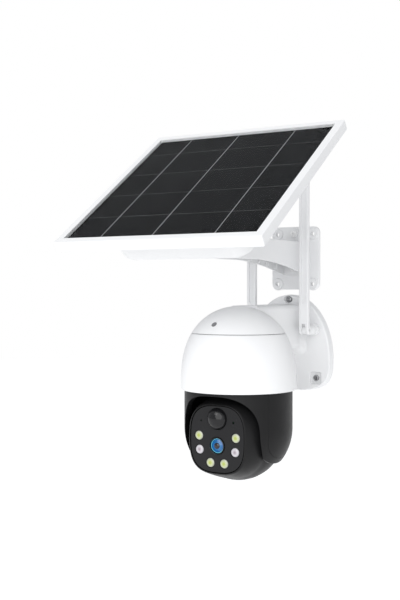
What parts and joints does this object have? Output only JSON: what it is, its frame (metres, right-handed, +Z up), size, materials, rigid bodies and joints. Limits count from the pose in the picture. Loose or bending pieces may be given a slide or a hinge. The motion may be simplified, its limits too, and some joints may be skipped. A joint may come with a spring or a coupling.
{
  "type": "solar-powered security camera",
  "caption": "Wall-mounted pan-tilt dome camera with lamps, motion sensor and two antennas, and its tilting solar panel with battery box on a bracket.",
  "frame": {"origin": "centre of the back face of the camera's wall plate, on the wall plane", "axes": "+Y points into the wall, +Z is up, +X is to the right seen from the front; the object stands out along -Y"},
  "size_m": [0.211, 0.2944, 0.3518],
  "materials": {
    "white_plastic": "satin",
    "black_plastic": "satin",
    "face_black": "gloss",
    "screw_steel": "satin",
    "motor_steel": "satin",
    "gear_plastic": "matte",
    "board_green": "satin",
    "seal_rubber": "matte",
    "panel_glass": "gloss",
    "solar_cells": "gloss",
    "lens_glass": "gloss",
    "pir_black": "gloss",
    "white_led": "gloss",
    "infrared_led": "gloss",
    "battery_wrap": "satin",
    "bearing_plastic": "satin"
  },
  "bodies": {
    "wall_mount": {"wall_bracket": "white_plastic", "lower_shroud": "white_plastic", "cap_seal": "seal_rubber", "cap_screw": "screw_steel", "wall_screw_top": "screw_steel", "wall_screw_left": "screw_steel", "wall_screw_right": "screw_steel", "antenna_nut_left": "white_plastic", "antenna_nut_right": "white_plastic", "pan_base": "black_plastic", "pan_bearing": "bearing_plastic", "pan_motor": "motor_steel", "main_board": "board_green", "solar_inlet": "black_plastic", "panel_wall_plate": "white_plastic", "arm_screw_top": "screw_steel", "arm_screw_low": "screw_steel", "panel_arm": "white_plastic", "tilt_bolt": "screw_steel", "tilt_nut": "screw_steel"},
    "pan_head": {"yoke_housing": "black_plastic", "side_cover_left": "black_plastic", "side_cover_right": "black_plastic", "pan_gear": "gear_plastic", "pan_clip": "screw_steel", "tilt_gear": "gear_plastic"},
    "pan_pinion": {"pan_pinion": "gear_plastic"},
    "eyeball": {"ball_shell": "black_plastic", "face_plate": "face_black", "led_board": "board_green", "lens_barrel": "face_black", "lens_glass": "lens_glass", "pir_dome": "pir_black", "image_board": "board_green", "led_1": "white_led", "led_2": "white_led", "led_3": "infrared_led", "led_4": "infrared_led", "led_5": "white_led", "led_6": "white_led", "tilt_axle_left": "screw_steel", "tilt_motor": "motor_steel"},
    "tilt_pinion": {"tilt_pinion": "gear_plastic"},
    "solar_panel": {"panel_frame": "white_plastic", "panel_glass": "panel_glass", "cell_sheet": "solar_cells", "battery_tray": "white_plastic", "battery_pack": "battery_wrap", "cable_outlet": "black_plastic", "tilt_bracket": "white_plastic"},
    "antenna_base_left": {"antenna_base_left": "white_plastic"},
    "antenna_base_right": {"antenna_base_right": "white_plastic"},
    "antenna_left": {"antenna_paddle_left": "white_plastic", "antenna_pin_left": "screw_steel"},
    "antenna_right": {"antenna_paddle_right": "white_plastic", "antenna_pin_right": "screw_steel"}
  },
  "joints": [
    {"name": "head_pan", "type": "hinge", "parent": "wall_mount", "child": "pan_head", "pos_m": [0, -0.126, -0.03], "axis": [0, 0, 1], "range_deg": [-177, 177]},
    {"name": "pan_pinion_spin", "type": "hinge", "parent": "wall_mount", "child": "pan_pinion", "pos_m": [0.02625, -0.126, -0.03], "axis": [0, 0, 1], "range_deg": [-592, 592]},
    {"name": "camera_tilt", "type": "hinge", "parent": "pan_head", "child": "eyeball", "pos_m": [0, -0.126, -0.086], "axis": [1, 0, 0], "range_deg": [-8, 90]},
    {"name": "tilt_pinion_spin", "type": "hinge", "parent": "eyeball", "child": "tilt_pinion", "pos_m": [0, -0.11535, -0.086], "axis": [1, 0, 0], "range_deg": [-14, 146]},
    {"name": "panel_tilt", "type": "hinge", "parent": "wall_mount", "child": "solar_panel", "pos_m": [0.0059, -0.188, 0.0997], "axis": [1, 0, 0], "range_deg": [-34, 25]},
    {"name": "antenna_swivel_left", "type": "hinge", "parent": "wall_mount", "child": "antenna_base_left", "pos_m": [-0.0314, -0.02, 0.015], "axis": [0, 1, 0], "range_deg": [-90, 8]},
    {"name": "antenna_swivel_right", "type": "hinge", "parent": "wall_mount", "child": "antenna_base_right", "pos_m": [0.0314, -0.02, 0.015], "axis": [0, 1, 0], "range_deg": [-3, 90]},
    {"name": "antenna_fold_left", "type": "hinge", "parent": "antenna_base_left", "child": "antenna_left", "pos_m": [-0.0314, -0.034, 0.015], "axis": [1, 0, 0], "range_deg": [-5, 20]},
    {"name": "antenna_fold_right", "type": "hinge", "parent": "antenna_base_right", "child": "antenna_right", "pos_m": [0.0314, -0.034, 0.015], "axis": [1, 0, 0], "range_deg": [-5, 20]}
  ],
  "couplings": [
    {"joint": "pan_pinion_spin", "follows": "head_pan", "ratio": -3.3333},
    {"joint": "tilt_pinion_spin", "follows": "camera_tilt", "ratio": 1.6}
  ]
}
